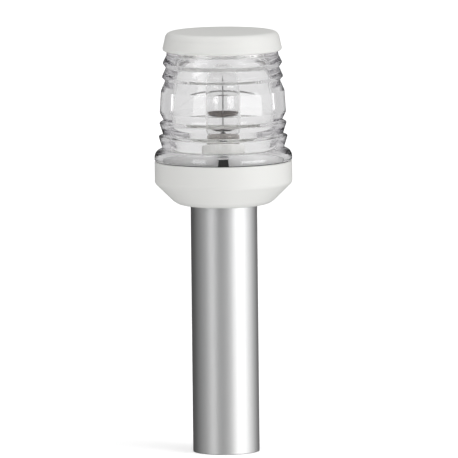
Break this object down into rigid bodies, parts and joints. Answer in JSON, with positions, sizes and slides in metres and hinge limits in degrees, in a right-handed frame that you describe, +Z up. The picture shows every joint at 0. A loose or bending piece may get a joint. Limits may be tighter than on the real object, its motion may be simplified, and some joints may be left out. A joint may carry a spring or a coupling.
{
  "type": "navigation light",
  "caption": "All-round white boat light: a clear ringed lens under a round cap, on a white base and an upright aluminium pole.",
  "frame": {"origin": "centre of the pole's lower end face", "axes": "+Z up the pole towards the cap; -Y faces the front, where the lens flange has its notch; +X to the right seen from the front"},
  "size_m": [0.062, 0.062, 0.1906],
  "materials": {
    "white_plastic": "satin moulded white",
    "clear_polycarbonate": null,
    "anodised_aluminium": "satin anodised",
    "black_rubber": "matt",
    "grey_nylon": "matt",
    "stainless_steel": "bright",
    "nickel_plate": "satin nickel",
    "brass": "plain",
    "bulb_glass": "clear blown glass",
    "black_glass": "dark moulded insulator",
    "solder": "dull solder",
    "tungsten_wire": "dark drawn wire",
    "cable_sheath": "matt",
    "brown_core": "insulated wire",
    "blue_core": "insulated wire",
    "dark_steel": "dark oxidised sheet"
  },
  "bodies": {
    "stand": {"pole_tube": "anodised_aluminium", "pole_insert": "grey_nylon", "cable_grommet": "black_rubber", "supply_cable": "cable_sheath", "core_brown": "brown_core", "core_blue": "blue_core", "lamp_base": "white_plastic", "base_screw_1": "stainless_steel", "base_screw_2": "stainless_steel", "base_screw_3": "stainless_steel", "holder_screw_front": "stainless_steel", "holder_screw_rear": "stainless_steel", "lens_gasket": "black_rubber", "holder_body": "white_plastic", "holder_sleeve": "nickel_plate", "contact_plate_left": "brass", "contact_plate_right": "brass", "contact_spring_left": "stainless_steel", "contact_spring_right": "stainless_steel"},
    "lens_cover": {"lens": "clear_polycarbonate", "lens_cap": "white_plastic"},
    "contact_pair": {"contact_plunger_left": "brass", "contact_plunger_right": "brass"},
    "bulb": {"bulb_cap": "nickel_plate", "bulb_insulator": "black_glass", "bulb_contact_left": "solder", "bulb_contact_right": "solder", "bulb_glass": "bulb_glass", "bulb_stem": "bulb_glass", "lead_wire_short": "tungsten_wire", "lead_wire_long": "tungsten_wire", "filament": "tungsten_wire", "heat_shield": "dark_steel"}
  },
  "joints": [
    {"name": "lens_lift", "type": "slide", "parent": "stand", "child": "lens_cover", "axis": [0, 0, 1], "range_m": [0, 0.06]},
    {"name": "bulb_push", "type": "slide", "parent": "stand", "child": "contact_pair", "axis": [0, 0, -1], "range_m": [0, 0.0012], "stiffness_N_per_m": 800, "springref_m": -0.0015, "deforming": ["contact_spring_left", "contact_spring_right"]},
    {"name": "bulb_turn", "type": "hinge", "parent": "contact_pair", "child": "bulb", "pos_m": [0, 0, 0.1407], "axis": [0, 0, 1], "range_deg": [0, 20]}
  ]
}
